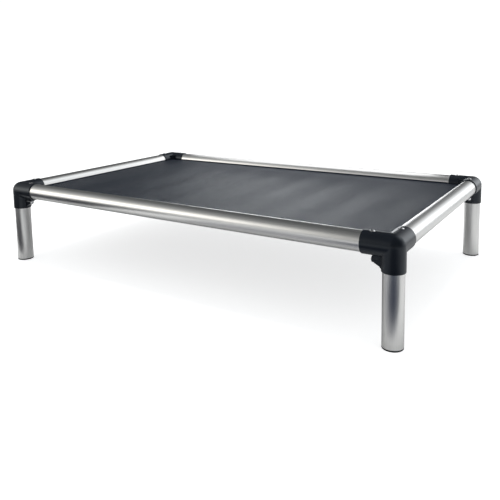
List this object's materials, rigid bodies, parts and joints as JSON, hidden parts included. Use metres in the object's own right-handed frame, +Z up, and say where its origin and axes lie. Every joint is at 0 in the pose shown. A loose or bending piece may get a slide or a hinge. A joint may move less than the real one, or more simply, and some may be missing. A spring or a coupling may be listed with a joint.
{
  "type": "dog bed with frame",
  "caption": "Raised dog bed: fabric sheet held taut in a rectangular frame of round aluminium tubes, joined by black corner fittings on short capped legs.",
  "frame": {"origin": "on the floor under the middle of the bed", "axes": "+X along the long side, +Y across to the back, +Z up"},
  "size_m": [1.016, 0.635, 0.2015],
  "materials": {
    "fabric": "dark slate grey woven synthetic cloth, matt",
    "tube": "satin brushed along the tube",
    "rod": "plain drawn rod",
    "fitting": "satin black moulded plastic",
    "cap": "matt black moulded plastic",
    "screw": "bright stainless steel"
  },
  "bodies": {
    "root": {"fabric_panel": "fabric", "rail_front": "tube", "rail_back": "tube", "rail_left": "tube", "rail_right": "tube", "hem_rod_front": "rod", "hem_rod_back": "rod", "hem_rod_left": "rod", "hem_rod_right": "rod", "corner_front_left": "fitting", "corner_front_right": "fitting", "corner_back_left": "fitting", "corner_back_right": "fitting", "leg_front_left": "tube", "leg_front_right": "tube", "leg_back_left": "tube", "leg_back_right": "tube", "foot_cap_front_left": "cap", "foot_cap_front_right": "cap", "foot_cap_back_left": "cap", "foot_cap_back_right": "cap", "rail_screw_front_left_long": "screw", "rail_screw_front_left_short": "screw", "rail_screw_front_right_long": "screw", "rail_screw_front_right_short": "screw", "rail_screw_back_left_long": "screw", "rail_screw_back_left_short": "screw", "rail_screw_back_right_long": "screw", "rail_screw_back_right_short": "screw", "leg_screw_front_left_long": "screw", "leg_screw_front_left_short": "screw", "leg_screw_front_right_long": "screw", "leg_screw_front_right_short": "screw", "leg_screw_back_left_long": "screw", "leg_screw_back_left_short": "screw", "leg_screw_back_right_long": "screw", "leg_screw_back_right_short": "screw"}
  },
  "joints": []
}
